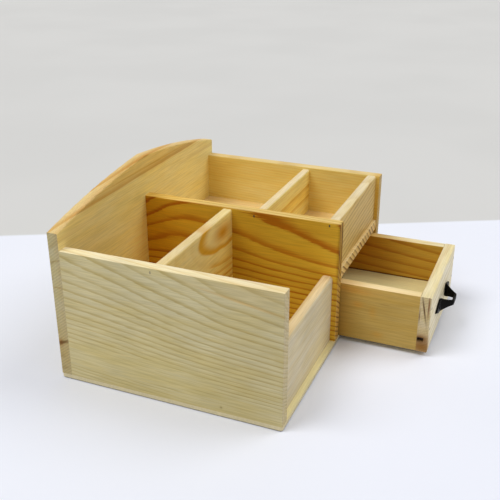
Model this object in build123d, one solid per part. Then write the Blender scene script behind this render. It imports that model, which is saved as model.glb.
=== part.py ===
from build123d import *
import os
from math import hypot

# Desk organizer of planed pine boards: an open bay on the left, and on the right an open tray over
# one drawer. Millimetres. The origin is the middle of the base's underside, +Z is up, the drawer
# opens towards -Y, and +X is on the right of somebody who faces the drawer.

# Carcass
WIDTH = 257.0  # over the two side walls
DEPTH = 180.0  # from the walls' front edges to the rear face of the back board
BOARD = 9.0  # planed thickness of the carcass boards
BASE_THICK = 4.0
WALL_TOP = 107.5  # top edge of the side walls and the partition
BACK_CORNER_TOP = 120.6
BACK_PEAK_TOP = 141.4
ARCH_BULGE = 2.7  # how far each half of the arch bows above its chord
ARCH_PEAK_RADIUS = 25.0  # the sanded point where the two halves meet

LEFT_FRONT_SETBACK = 4.6
LEFT_FRONT_TOP = 62.4
LEFT_DIVIDER_FRONT = 1.3  # Y of the divider's front face
LEFT_DIVIDER_THICK = 8.1
LEFT_DIVIDER_TOP = 106.5

TRAY_FLOOR_TOP = 65.2
TRAY_FLOOR_SETBACK = 0.8
TRAY_FRONT_SETBACK = 3.4
TRAY_FRONT_TOP = 107.3
TRAY_DIVIDER_FRONT = -23.4
TRAY_DIVIDER_THICK = 7.0
TRAY_DIVIDER_TOP = 105.5

# Edges: sanded arrises, and the rounder tops that a hand meets
EASE = 0.8
DIVIDER_ROUND = 1.5
FRONT_ROUND = 3.0
TRAY_FRONT_ROUND = 2.4
BASE_CORNER = 2.0
BASE_EDGE = 1.2

# Drawer
DRAWER_OPEN = 72.9  # how far it is pulled out as drawn
DRAWER_HEIGHT = 48.7
DRAWER_SIDE_PLAY = 1.6  # between each drawer side and its bay
DRAWER_LIFT = 0.3  # running gap over the base
DRAWER_REAR_PLAY = 1.5  # left behind the closed drawer
DRAWER_SIDE_THICK = 8.5
DRAWER_BACK_THICK = 8.5
BOTTOM_THICK = 3.5
GROOVE_HEIGHT = 3.7
GROOVE_ABOVE_EDGE = 9.0  # underside of the groove over the drawer's lower edge
FRONT_GROOVE_DEPTH = 5.4
SIDE_GROOVE_DEPTH = 4.5
BOTTOM_END_PLAY = 0.3

# Bow pull: leaf-shaped feet flat on the drawer front, and a narrow grip standing off it
HANDLE_ABOVE_EDGE = 23.4  # middle of the pull over the drawer's lower edge
HANDLE_TIP = 31.3  # half its length
HANDLE_ROOT = 14.2  # half the distance between the roots of its feet
HANDLE_GRIP = 5.9  # half its straight grip
HANDLE_REACH = 11.4
HANDLE_GAUGE = 1.8
HANDLE_ROOT_HALF = 6.0  # half the strap's height at a root
HANDLE_GRIP_HALF = 2.3
LEAF_SWELL = 0.8  # bow of a foot's edge above its chord
WAIST_HOLLOW = 0.7  # dip of a leg's edge below its chord
HANDLE_OUTER_BEND = 3.0
HANDLE_INNER_BEND = 1.2
HANDLE_EASE = 0.35
PIN_OFFSET = 20.5  # from the middle of the pull
PIN_RADIUS = 0.8
PIN_HOLE_RADIUS = 0.95
PIN_HEAD_RADIUS = 1.8
PIN_HEAD_HEIGHT = 0.9
PIN_LENGTH = 7.0

# Brads: flat-sided, with a head that is wider than the shank one way only, and a chisel point
BRAD_WIDTH = 1.25
BRAD_THICK = 1.0
BRAD_HEAD_WIDTH = 2.0
BRAD_HEAD_THICK = 0.7
BRAD_POINT = 1.8
BRAD_TIP_WIDTH = 0.3
BRAD_LENGTH = 20.0
BRAD_PROUD = 0.1  # a head standing on a board's face
BASE_BRAD_SINK = 0.4  # a head punched into the base, clear of the desk
WALL_BRAD_ROWS = (22.0, 60.0, 98.0)  # heights up the back board
WALL_BRAD_PLACES = (-70.0, 0.0, 62.0)  # Y along the base under the walls
TRAY_BRAD_ROWS = (78.0, 98.0)
TRAY_FLOOR_BRAD_PLACES = (-60.0, -5.0, 50.0)
LEFT_FRONT_BRAD_ROWS = (16.0, 46.0)
DRAWER_BRAD_ROWS = (20.0, 38.0)  # over the drawer's lower edge
DRAWER_BOTTOM_BRADS = 25.0  # either side of the drawer's middle
# Nails close under a board's rounded top: in from its rear face, and down from its top
LEFT_DIVIDER_BRAD = (1.9, 2.2)
TRAY_FRONT_BRAD = (3.4, 2.2)
TRAY_DIVIDER_BRAD = (1.6, 1.9)

# Faces that several pieces share
LEFT, RIGHT = -WIDTH / 2, WIDTH / 2
FRONT, REAR = -DEPTH / 2, DEPTH / 2
BACK_FACE = REAR - BOARD
LEFT_WALL = (LEFT, LEFT + BOARD)
PARTITION = (-BOARD / 2, BOARD / 2)
RIGHT_WALL = (RIGHT - BOARD, RIGHT)
LEFT_BAY = (LEFT_WALL[1], PARTITION[0])
RIGHT_BAY = (PARTITION[1], RIGHT_WALL[0])
LEFT_FRONT = (FRONT + LEFT_FRONT_SETBACK, FRONT + LEFT_FRONT_SETBACK + BOARD)
LEFT_DIVIDER = (LEFT_DIVIDER_FRONT, LEFT_DIVIDER_FRONT + LEFT_DIVIDER_THICK)
TRAY_FLOOR = (TRAY_FLOOR_TOP - BOARD, TRAY_FLOOR_TOP)
TRAY_FRONT = (FRONT + TRAY_FRONT_SETBACK, FRONT + TRAY_FRONT_SETBACK + BOARD)
TRAY_DIVIDER = (TRAY_DIVIDER_FRONT, TRAY_DIVIDER_FRONT + TRAY_DIVIDER_THICK)

DRAWER_X = (RIGHT_BAY[0] + DRAWER_SIDE_PLAY, RIGHT_BAY[1] - DRAWER_SIDE_PLAY)
DRAWER_FRONT = FRONT - DRAWER_OPEN
DRAWER_INNER = DRAWER_FRONT + BOARD
DRAWER_REAR = BACK_FACE - DRAWER_REAR_PLAY - DRAWER_OPEN
DRAWER_BACK = (DRAWER_REAR - DRAWER_BACK_THICK, DRAWER_REAR)
DRAWER_EDGE = BASE_THICK + DRAWER_LIFT
DRAWER_TOP = DRAWER_EDGE + DRAWER_HEIGHT
DRAWER_LEFT = (DRAWER_X[0], DRAWER_X[0] + DRAWER_SIDE_THICK)
DRAWER_RIGHT = (DRAWER_X[1] - DRAWER_SIDE_THICK, DRAWER_X[1])
GROOVE = (DRAWER_EDGE + GROOVE_ABOVE_EDGE, DRAWER_EDGE + GROOVE_ABOVE_EDGE + GROOVE_HEIGHT)
BOTTOM = (GROOVE[0], GROOVE[0] + BOTTOM_THICK)

# Directions that the nails and pins are driven in
RIGHTWARDS, LEFTWARDS = (1, 0, 0), (-1, 0, 0)
BACKWARDS, FORWARDS = (0, 1, 0), (0, -1, 0)
UPWARDS = (0, 0, 1)

NEAR = 0.01  # tolerance when an edge is looked up by its place
PAST = 1.0  # how far a cutting tool runs past the piece


def middle(span):
    """Midpoint of a (low, high) pair."""
    return sum(span) / 2


def slab(x, y, z):
    """Rectangular board between the (low, high) pairs along X, Y and Z."""
    spans = (x, y, z)
    size = [high - low for low, high in spans]
    return Pos(*map(middle, spans)) * Box(*size)


def edges_along(piece, direction, x=None, y=None, z=None):
    """Edges parallel to an axis whose middle lies at the places given."""
    found = piece.edges().filter_by(direction)
    for axis, place in ((Axis.X, x), (Axis.Y, y), (Axis.Z, z)):
        if place is not None:
            found = found.filter_by_position(axis, place - NEAR, place + NEAR)
    return found


# ---------------------------------------------------------------- carcass boards


def base_panel():
    """Thin panel with rounded corners and a soft lower edge."""
    panel = slab((LEFT, RIGHT), (FRONT, REAR), (0, BASE_THICK))
    panel = fillet(panel.edges().filter_by(Axis.Z), BASE_CORNER)
    return fillet(panel.faces().sort_by(Axis.Z)[0].edges(), BASE_EDGE)


def back_board():
    """Back with a shallow pointed arch: two bowed halves that meet at a softened peak."""
    left, right = (LEFT, BACK_CORNER_TOP), (RIGHT, BACK_CORNER_TOP)
    peak = (0, BACK_PEAK_TOP)
    outline = [
        Polyline(right, (RIGHT, BASE_THICK), (LEFT, BASE_THICK), left),
        SagittaArc(left, peak, ARCH_BULGE),
        SagittaArc(peak, right, ARCH_BULGE),
    ]
    face = make_face(outline)
    face = fillet(face.vertices().sort_by(Axis.Y)[-1], ARCH_PEAK_RADIUS)
    board = extrude(Plane.XZ.offset(-REAR) * face, BOARD)
    arch = board.edges().filter_by_position(Axis.Z, BACK_CORNER_TOP - NEAR, BACK_PEAK_TOP)
    arch = arch.filter_by(Axis.Y, reverse=True)
    rear_ends = edges_along(board, Axis.Z, x=LEFT, y=REAR) + edges_along(board, Axis.Z, x=RIGHT, y=REAR)
    return fillet(arch + rear_ends, EASE)


def wall(x):
    """Upright board from the front edge to the back board, with its free edges sanded."""
    board = slab(x, (FRONT, BACK_FACE), (BASE_THICK, WALL_TOP))
    top = edges_along(board, Axis.Y, z=WALL_TOP) + edges_along(board, Axis.X, y=FRONT, z=WALL_TOP)
    return fillet(top + edges_along(board, Axis.Z, y=FRONT), EASE)


def cross_board(x, y, z, radius):
    """Board across a bay, with both long edges of its top rounded."""
    board = slab(x, y, z)
    return fillet(edges_along(board, Axis.X, z=z[1]), radius)


def tray_floor():
    """Floor of the tray and roof of the drawer's bay."""
    front = FRONT + TRAY_FLOOR_SETBACK
    board = slab(RIGHT_BAY, (front, BACK_FACE), TRAY_FLOOR)
    return fillet(edges_along(board, Axis.X, y=front), EASE)


# ---------------------------------------------------------------- drawer box


def drawer_front():
    """Front board. The groove for the bottom runs out through both of its ends."""
    board = slab(DRAWER_X, (DRAWER_FRONT, DRAWER_INNER), (DRAWER_EDGE, DRAWER_TOP))
    outer = board.faces().sort_by(Axis.Y)[0].edges()
    board = fillet(outer + edges_along(board, Axis.X, y=DRAWER_INNER, z=DRAWER_TOP), EASE)
    past_ends = (DRAWER_X[0] - PAST, DRAWER_X[1] + PAST)
    depth = (DRAWER_INNER - FRONT_GROOVE_DEPTH, DRAWER_INNER + PAST)
    return board - slab(past_ends, depth, GROOVE)


def drawer_side(x, groove_x):
    """Side board butted behind the front, grooved along its inner face for the bottom."""
    board = slab(x, (DRAWER_INNER, DRAWER_REAR), (DRAWER_EDGE, DRAWER_TOP))
    board = fillet(edges_along(board, Axis.Y), EASE)
    return board - slab(groove_x, (DRAWER_INNER - PAST, DRAWER_REAR + PAST), GROOVE)


def drawer_left_side():
    """Left side of the drawer."""
    return drawer_side(DRAWER_LEFT, (DRAWER_LEFT[1] - SIDE_GROOVE_DEPTH, DRAWER_LEFT[1] + PAST))


def drawer_right_side():
    """Right side of the drawer."""
    return drawer_side(DRAWER_RIGHT, (DRAWER_RIGHT[0] - PAST, DRAWER_RIGHT[0] + SIDE_GROOVE_DEPTH))


def drawer_bottom():
    """Thin panel held in the grooves of the front and the sides, running out under the back."""
    reach = SIDE_GROOVE_DEPTH - BOTTOM_END_PLAY
    x = (DRAWER_LEFT[1] - reach, DRAWER_RIGHT[0] + reach)
    front = DRAWER_INNER - FRONT_GROOVE_DEPTH + BOTTOM_END_PLAY
    return slab(x, (front, DRAWER_REAR), BOTTOM)


def drawer_back():
    """Back board between the sides, standing on the bottom panel."""
    return cross_board((DRAWER_LEFT[1], DRAWER_RIGHT[0]), DRAWER_BACK, (BOTTOM[1], DRAWER_TOP), EASE)


# ---------------------------------------------------------------- bow pull


def mirrored(points):
    """Points of a right-hand half outline, followed by their mirror images in reverse order."""
    return points + [(-x, y) for x, y in reversed(points)]


def on_handle(x, y):
    """Place on the drawer front: x across from the pull's middle, y out of the front's face."""
    return (middle(DRAWER_X) + x, DRAWER_FRONT - y, DRAWER_EDGE + HANDLE_ABOVE_EDGE)


def drawer_handle():
    """Bow pull: the strap's bent profile in plan, cut to a leaf outline seen from the front."""
    lean = (HANDLE_ROOT - HANDLE_GRIP) / (HANDLE_REACH - HANDLE_GAUGE)
    outset = HANDLE_GAUGE * (hypot(1, lean) - lean)  # keeps the legs as thick as the feet
    outside = [
        (HANDLE_TIP, 0),
        (HANDLE_TIP, -HANDLE_GAUGE),
        (HANDLE_ROOT + outset, -HANDLE_GAUGE),
        (HANDLE_GRIP + outset, -HANDLE_REACH),
    ]
    inside = [(HANDLE_ROOT, 0), (HANDLE_GRIP, HANDLE_GAUGE - HANDLE_REACH)]
    strap = make_face(Polyline(*mirrored(outside), *reversed(mirrored(inside)), close=True))
    for y, radius in (
        (-HANDLE_REACH, HANDLE_OUTER_BEND),
        (HANDLE_GAUGE - HANDLE_REACH, HANDLE_INNER_BEND),
    ):
        strap = fillet(strap.vertices().filter_by_position(Axis.Y, y - NEAR, y + NEAR), radius)
    strap = extrude(strap, HANDLE_ROOT_HALF, both=True)

    root, grip = (HANDLE_ROOT, HANDLE_ROOT_HALF), (HANDLE_GRIP, HANDLE_GRIP_HALF)
    quarter = [SagittaArc((HANDLE_TIP, 0), root, -LEAF_SWELL), SagittaArc(root, grip, WAIST_HOLLOW)]
    upper = quarter + [edge.mirror(Plane.YZ) for edge in quarter] + [Line(grip, (-grip[0], grip[1]))]
    leaf = make_face(upper + [edge.mirror(Plane.XZ) for edge in upper])
    pull = strap & extrude(Plane.XZ * leaf, HANDLE_REACH)
    rims = pull.edges().filter_by(lambda edge: edge.center().Y < -HANDLE_GAUGE + NEAR)
    rims = rims.filter_by(lambda edge: abs(edge.center().Z) > NEAR)
    pull = chamfer(rims, HANDLE_EASE)
    for side in (-1, 1):
        hole = Cylinder(PIN_HOLE_RADIUS, 2 * HANDLE_REACH, rotation=(90, 0, 0))
        pull -= Pos(side * PIN_OFFSET, 0, 0) * hole
    return Pos(*on_handle(0, 0)) * pull


# ---------------------------------------------------------------- nails and pins


def driven(fastener, places, direction):
    """Copies of a fastener, one at each place, kept as separate solids of one piece.

    The fastener is drawn pointing along +Z from a board's face at Z = 0. Its X, the long way of a
    brad's head, is turned upright, or front to back if it is driven upwards.
    """
    long_way = BACKWARDS if direction == UPWARDS else UPWARDS
    return Compound(
        [(Plane(origin=place, x_dir=long_way, z_dir=direction) * fastener).solid() for place in places]
    )


def brads(places, direction, proud=BRAD_PROUD):
    """Brads driven from places on a board's face, their heads standing proud of it."""
    neck = BRAD_HEAD_THICK - proud
    half_head, half_shank = BRAD_HEAD_WIDTH / 2, BRAD_WIDTH / 2
    outline = mirrored(
        [
            (half_head, -proud),
            (half_head, neck),
            (half_shank, neck),
            (half_shank, BRAD_LENGTH - BRAD_POINT),
            (BRAD_TIP_WIDTH / 2, BRAD_LENGTH),
        ]
    )
    flat = make_face(Polyline(*outline, close=True))
    brad = extrude(Plane.XZ * flat, BRAD_THICK / 2, both=True)
    return driven(brad, places, direction)


def under_top(face, board, top, inset):
    """Place on a wall's face over a cross board's end, inset from its rear face and its top."""
    from_rear, down = inset
    return (face, board[1] - from_rear, top - down)


def left_wall_brads():
    """Into the left divider, close under its rounded top."""
    place = under_top(LEFT, LEFT_DIVIDER, LEFT_DIVIDER_TOP, LEFT_DIVIDER_BRAD)
    return brads([place], RIGHTWARDS)


def partition_tray_brads():
    """Into the tray's front wall and divider, close under their tops."""
    front = under_top(PARTITION[0], TRAY_FRONT, TRAY_FRONT_TOP, TRAY_FRONT_BRAD)
    divider = under_top(PARTITION[0], TRAY_DIVIDER, TRAY_DIVIDER_TOP, TRAY_DIVIDER_BRAD)
    return brads([front, divider], RIGHTWARDS)


def partition_left_brads():
    """From the partition's far face into the left bay's divider and front wall."""
    places = [(PARTITION[1], middle(LEFT_DIVIDER), z) for z in TRAY_BRAD_ROWS]
    places += [(PARTITION[1], middle(LEFT_FRONT), z) for z in LEFT_FRONT_BRAD_ROWS]
    return brads(places, LEFTWARDS)


def right_wall_brads():
    """Into the ends of the tray's floor, front wall and divider."""
    places = [(RIGHT, y, middle(TRAY_FLOOR)) for y in TRAY_FLOOR_BRAD_PLACES]
    places += [(RIGHT, middle(board), z) for board in (TRAY_FRONT, TRAY_DIVIDER) for z in TRAY_BRAD_ROWS]
    return brads(places, LEFTWARDS)


def back_board_brads():
    """Through the back board into the ends of the three walls and the tray floor."""
    walls = [middle(board) for board in (LEFT_WALL, PARTITION, RIGHT_WALL)]
    places = [(x, REAR, z) for x in walls for z in WALL_BRAD_ROWS]
    third = (RIGHT_BAY[1] - RIGHT_BAY[0]) / 3
    places += [(RIGHT_BAY[0] + n * third, REAR, middle(TRAY_FLOOR)) for n in (1, 2)]
    return brads(places, FORWARDS)


def base_brads():
    """Up through the base into every board that stands on it."""
    walls = [middle(board) for board in (LEFT_WALL, PARTITION, RIGHT_WALL)]
    places = [(x, y, 0) for x in walls for y in WALL_BRAD_PLACES]
    places += [(middle(bay), middle((BACK_FACE, REAR)), 0) for bay in (LEFT_BAY, RIGHT_BAY)]
    third = (LEFT_BAY[1] - LEFT_BAY[0]) / 3
    places += [(LEFT_BAY[0] + n * third, middle(LEFT_FRONT), 0) for n in (1, 2)]
    places += [(middle(LEFT_BAY), middle(LEFT_DIVIDER), 0)]
    return brads(places, UPWARDS, proud=-BASE_BRAD_SINK)


def drawer_front_brads():
    """Through the drawer front into the ends of both sides."""
    sides = (middle(DRAWER_LEFT), middle(DRAWER_RIGHT))
    return brads([(x, DRAWER_FRONT, DRAWER_EDGE + z) for x in sides for z in DRAWER_BRAD_ROWS], BACKWARDS)


def drawer_left_brads():
    """Through the drawer's left side into its back."""
    return brads([(DRAWER_X[0], middle(DRAWER_BACK), DRAWER_EDGE + z) for z in DRAWER_BRAD_ROWS], RIGHTWARDS)


def drawer_right_brads():
    """Through the drawer's right side into its back."""
    return brads([(DRAWER_X[1], middle(DRAWER_BACK), DRAWER_EDGE + z) for z in DRAWER_BRAD_ROWS], LEFTWARDS)


def drawer_bottom_brads():
    """Up through the bottom panel into the lower edge of the back."""
    x = middle(DRAWER_X)
    places = [(x + side * DRAWER_BOTTOM_BRADS, middle(DRAWER_BACK), BOTTOM[0]) for side in (-1, 1)]
    return brads(places, UPWARDS)


def handle_pins():
    """One domed pin through each foot of the pull into the drawer front."""
    dome = TangentArc((0, -PIN_HEAD_HEIGHT), (PIN_HEAD_RADIUS, 0), tangent=(1, 0))
    shank = Polyline(
        (PIN_HEAD_RADIUS, 0),
        (PIN_RADIUS, 0),
        (PIN_RADIUS, PIN_LENGTH),
        (0, PIN_LENGTH),
        (0, -PIN_HEAD_HEIGHT),
    )
    pin = revolve(Plane.XZ * make_face([dome, shank]), Axis.Z)
    feet = [on_handle(side * PIN_OFFSET, HANDLE_GAUGE) for side in (-1, 1)]
    return driven(pin, feet, BACKWARDS)


parts = {
    "base_panel": base_panel(),
    "back_board": back_board(),
    "left_side_wall": wall(LEFT_WALL),
    "centre_partition": wall(PARTITION),
    "right_side_wall": wall(RIGHT_WALL),
    "left_front_wall": cross_board(LEFT_BAY, LEFT_FRONT, (BASE_THICK, LEFT_FRONT_TOP), FRONT_ROUND),
    "left_cross_divider": cross_board(
        LEFT_BAY, LEFT_DIVIDER, (BASE_THICK, LEFT_DIVIDER_TOP), DIVIDER_ROUND
    ),
    "tray_floor": tray_floor(),
    "tray_front_wall": cross_board(
        RIGHT_BAY, TRAY_FRONT, (TRAY_FLOOR_TOP, TRAY_FRONT_TOP), TRAY_FRONT_ROUND
    ),
    "tray_cross_divider": cross_board(
        RIGHT_BAY, TRAY_DIVIDER, (TRAY_FLOOR_TOP, TRAY_DIVIDER_TOP), DIVIDER_ROUND
    ),
    "left_wall_brads": left_wall_brads(),
    "partition_tray_brads": partition_tray_brads(),
    "partition_left_brads": partition_left_brads(),
    "right_wall_brads": right_wall_brads(),
    "back_board_brads": back_board_brads(),
    "base_brads": base_brads(),
    "drawer_front": drawer_front(),
    "drawer_left_side": drawer_left_side(),
    "drawer_right_side": drawer_right_side(),
    "drawer_bottom": drawer_bottom(),
    "drawer_back": drawer_back(),
    "drawer_front_brads": drawer_front_brads(),
    "drawer_left_brads": drawer_left_brads(),
    "drawer_right_brads": drawer_right_brads(),
    "drawer_bottom_brads": drawer_bottom_brads(),
    "drawer_handle": drawer_handle(),
    "handle_pins": handle_pins(),
}

os.makedirs("parts", exist_ok=True)
for name, solid in parts.items():
    export_step(solid, f"parts/{name}.step")
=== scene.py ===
"""Dresses the desk organizer: raw pine boards that each carry the rings of the log they were sawn
from, thin panels, browned brads and a black bow pull, on a pale studio floor.

Lengths are metres in the frame of the solids: +Z up, -Y the side where the drawer opens, and +X on
the right of somebody who faces the drawer. Sizes that a maker would give in millimetres are written
as a number times MM.
"""
import logging
import math
from dataclasses import dataclass, fields
from enum import Enum

import bpy
import numpy as np
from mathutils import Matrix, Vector


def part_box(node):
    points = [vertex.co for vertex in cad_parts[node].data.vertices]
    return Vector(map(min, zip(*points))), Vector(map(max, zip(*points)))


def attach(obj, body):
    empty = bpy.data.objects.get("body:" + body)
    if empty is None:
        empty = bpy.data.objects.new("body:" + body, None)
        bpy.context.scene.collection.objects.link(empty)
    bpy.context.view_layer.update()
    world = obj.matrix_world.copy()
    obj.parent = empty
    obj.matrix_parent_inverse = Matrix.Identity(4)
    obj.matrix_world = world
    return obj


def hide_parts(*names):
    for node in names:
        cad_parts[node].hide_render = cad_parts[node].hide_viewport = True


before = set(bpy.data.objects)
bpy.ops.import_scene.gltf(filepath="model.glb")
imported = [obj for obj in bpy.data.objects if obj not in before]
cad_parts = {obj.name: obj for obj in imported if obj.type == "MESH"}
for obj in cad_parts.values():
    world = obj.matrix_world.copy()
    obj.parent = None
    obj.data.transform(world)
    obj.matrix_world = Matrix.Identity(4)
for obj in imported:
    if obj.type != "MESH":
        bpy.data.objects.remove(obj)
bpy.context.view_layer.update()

LOG = logging.getLogger("organizer")
MM = 0.001

Socket = bpy.types.NodeSocket
Number = float | Socket
Triple = tuple[float, float, float] | Vector | Socket
Colour = tuple[float, float, float]


class Way(Enum):
    """A direction of the frame, by its place in a coordinate triple."""

    X = 0
    Y = 1
    Z = 2


def along(way: Way, size: float = 1.0) -> Vector:
    """Vector of the given size in one of the frame's directions."""
    return Vector([size if each is way else 0.0 for each in Way])


# ---- node trees


class Graph:
    """Node tree of a material or the world, with a short method for each step of a pattern.

    A method that works something out gives the socket that holds the result. The socket place holds
    the position on the piece, in the frame of the solids, and facing the surface's unit normal.
    """

    NOISE_SPAN = (0.3, 0.7)  # most of a noise's numbers lie between these
    # steps on triples whose second input or result is named otherwise
    ODD_STEPS = {"SCALE": ("Scale", 0), "LENGTH": (1, "Value"), "DOT_PRODUCT": (1, "Value")}

    def __init__(self, owner: bpy.types.Material | bpy.types.World) -> None:
        """Turns the nodes on.

        Args:
            owner: the material or the world that the tree belongs to.
        """
        owner.use_nodes = True
        self.owner, self.tree = owner, owner.node_tree
        self.shader = self.tree.nodes.get("Principled BSDF") or self.tree.nodes["Background"]
        coordinates = self.tree.nodes.new("ShaderNodeTexCoord")
        self.place, self.facing = coordinates.outputs["Object"], coordinates.outputs["Normal"]

    def feed(self, socket: Socket, value: Number | Triple) -> None:
        """Links a socket to another one, or gives it a plain value.

        Args:
            socket: the input to fill.
            value: an output socket, a number or a triple.
        """
        if isinstance(value, bpy.types.NodeSocket):
            self.tree.links.new(value, socket)
        elif socket.type == "RGBA":
            socket.default_value = (*value, 1.0)
        else:
            socket.default_value = value

    def fill(self, values: dict[str, Number | Triple]) -> None:
        """Feeds inputs of the shader, by their names."""
        for name, value in values.items():
            self.feed(self.shader.inputs[name], value)

    def add_node(
        self,
        kind: str,
        choices: dict[str, str],
        inputs: dict[str | int, Number | Triple],
        output: str | int,
    ) -> Socket:
        """Adds one node to the tree.

        Args:
            kind: Blender's name of the node, without ShaderNode in front.
            choices: its settings.
            inputs: what goes into it, by the inputs' names or places.
            output: name or place of the result to use.

        Returns:
            The socket that holds the result.
        """
        node = self.tree.nodes.new(f"ShaderNode{kind}")
        for name, choice in choices.items():
            setattr(node, name, choice)
        for name, value in inputs.items():
            self.feed(node.inputs[name], value)
        return node.outputs[output]

    def math(self, operation: str, a: Number, b: Number = 0.0, c: Number = 0.0) -> Socket:
        """One arithmetic step on up to three numbers, by Blender's name of it."""
        return self.add_node("Math", {"operation": operation}, {0: a, 1: b, 2: c}, 0)

    def vector(self, operation: str, a: Triple, b: Triple | Number = (0.0, 0.0, 0.0)) -> Socket:
        """One arithmetic step on triples; a length and a dot product give a number."""
        second, output = self.ODD_STEPS.get(operation, (1, "Vector"))
        return self.add_node("VectorMath", {"operation": operation}, {0: a, second: b}, output)

    def ease(
        self, value: Number, low: float, high: float, start: float = 0.0, end: float = 1.0
    ) -> Socket:
        """Smooth step: start below low, end above high, and an S curve between."""
        inputs = {"Value": value, "From Min": low, "From Max": high, "To Min": start, "To Max": end}
        return self.add_node("MapRange", {"interpolation_type": "SMOOTHSTEP"}, inputs, "Result")

    def noise(
        self, place: Triple, per_metre: float, detail: float = 2.0, rough: float = 0.5, output: str = "Fac"
    ) -> Socket:
        """Smooth random number from 0 to 1, mostly near a half; the output Color holds three."""
        inputs = {"Vector": place, "Scale": per_metre, "Detail": detail, "Roughness": rough}
        return self.add_node("TexNoise", {}, inputs, output)

    def swing(self, noise: Socket, low: float, high: float) -> Socket:
        """Noise stretched so that most of it runs from the low number to the high one."""
        return self.ease(noise, *self.NOISE_SPAN, low, high)

    def drawn_out(self, place: Triple, way: Way, share: float) -> Socket:
        """Place whose given coordinate is shrunk to a share, which draws a pattern out that way."""
        return self.vector("MULTIPLY", place, Vector([share if each is way else 1.0 for each in Way]))

    def chance(self, number: Number) -> Socket:
        """Random number from 0 to 1 that stays the same where the given number does."""
        return self.add_node("TexWhiteNoise", {"noise_dimensions": "1D"}, {"W": number}, "Value")

    def mix(self, share: Number, a: Colour | Socket, b: Colour | Socket, blend: str = "MIX") -> Socket:
        """Blends two colours: only the first one at a share of 0, and the second one's all at 1."""
        choices = {"data_type": "RGBA", "blend_type": blend}
        return self.add_node("Mix", choices, {"Factor": share, 6: a, 7: b}, 2)

    def brighten(self, colour: Colour | Socket, factor: Number) -> Socket:
        """Multiplies a colour by a number."""
        return self.vector("SCALE", colour, factor)

    def shifted(self, place: Triple, per_metre: float, reach: float) -> Socket:
        """Position on the piece, moved by a noise read at the place, at most by reach in each way."""
        shift = self.vector("SUBTRACT", self.noise(place, per_metre, 1.0, output="Color"), (0.5,) * 3)
        return self.vector("ADD", self.place, self.brighten(shift, 2 * reach))

    def relief(self, height: Socket, depth: float, strength: float) -> None:
        """Bumps the shader's surface, where a height of 1 stands the depth above a height of 0."""
        inputs = {"Strength": strength, "Distance": depth, "Height": height}
        self.fill({"Normal": self.add_node("Bump", {}, inputs, "Normal")})


# ---- finishes


@dataclass(frozen=True)
class Tone:
    """Colours of one kind of cut through the wood.

    Attributes:
        early: the pale wood that grows in spring.
        late: the dark line that closes each ring.
    """

    early: Colour
    late: Colour


@dataclass(frozen=True)
class Patch:
    """A soft round region of a board, in millimetres from the board's middle.

    Attributes:
        centre: its middle.
        radii: its size in each direction.
    """

    centre: tuple[float, float, float]
    radii: tuple[float, float, float]

    def inside(self, graph: Graph, place: Socket, middle: Vector) -> Socket:
        """How far each point lies inside the region, as the height of a rounded hill.

        The height is e to the minus square of the distance from the centre, counted in radii.

        Args:
            graph: the material.
            place: where to read it.
            middle: the board's middle.

        Returns:
            The socket that holds 1 at the centre and falls to 0 outside.
        """
        offset = graph.vector("SUBTRACT", place, middle + Vector(self.centre) * MM)
        offset = graph.vector("DIVIDE", offset, Vector(self.radii) * MM)
        square = graph.vector("DOT_PRODUCT", offset, offset)
        return graph.math("EXPONENT", graph.math("MULTIPLY", square, -1.0))


@dataclass(frozen=True)
class Swell(Patch):
    """A place where the rings are pushed out of line, as over a hidden knot.

    Attributes:
        push: how many millimetres the rings are pushed towards the pith.
    """

    push: float


@dataclass(frozen=True)
class Calm(Patch):
    """A place where the late wood hardly shows.

    Attributes:
        share: how much of it is lost in the middle.
    """

    share: float


@dataclass(frozen=True)
class Eye(Patch):
    """An oval where rings close beside a knot: one dark band round calm wood."""


@dataclass(frozen=True)
class StainAndPaintedLight(Patch):
    """A soft patch of another colour. Some are stains in the wood, others painted light and shade: wood
    made brighter or darker where light or shade falls.

    Attributes:
        colour: what the wood is multiplied by in the patch's middle.
    """

    colour: Colour


@dataclass(frozen=True)
class Line(StainAndPaintedLight):
    """A thin line through a patch's middle: a drying crack, a streak of resin, or a painted shadow line
    along a joint.

    Attributes:
        lean: its direction.
        width: how broad it is, in millimetres to either side.
    """

    lean: tuple[float, float, float] = (0.0, 0.0, 1.0)
    width: float = 0.8

    def inside(self, graph: Graph, place: Socket, middle: Vector) -> Socket:
        """How far each point lies inside the region and on the line, of which only a stretch is shown.

        Args:
            graph: the material.
            place: where the region is read.
            middle: the board's middle.

        Returns:
            The socket that holds 1 on the line at the centre and falls to 0 away from it.
        """
        offset = graph.vector("SUBTRACT", graph.place, middle + Vector(self.centre) * MM)
        lean = Vector(self.lean).normalized()
        away = graph.vector("LENGTH", graph.vector("CROSS_PRODUCT", offset, lean))
        near = graph.ease(away, self.width / 5 * MM, self.width * MM, 1.0, 0.0)
        return graph.math("MULTIPLY", super().inside(graph, place, middle), near)


@dataclass(frozen=True)
class Rings:
    """The log that a board was sawn from, in millimetres from the board's middle.

    Attributes:
        across: where the pith passes along the board's width, at the low and the high end.
        deep: where it passes along the board's thickness, at the low and the high end.
        width: width of a ring 50 mm from the pith.
        crowding: how fast the rings get thinner outwards; 1 keeps their width.
        phase: shifts the rings in or out, in rings.
        late_share: how much of a ring is dark.
        uneven: how much the rings' widths differ, in rings.
        waver: how far a ring strays sideways.
    """

    across: tuple[float, float]
    deep: tuple[float, float]
    width: float
    crowding: float = 1.0
    phase: float = 0.0
    late_share: float = 0.32
    uneven: float = 0.35
    waver: float = 1.2


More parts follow.
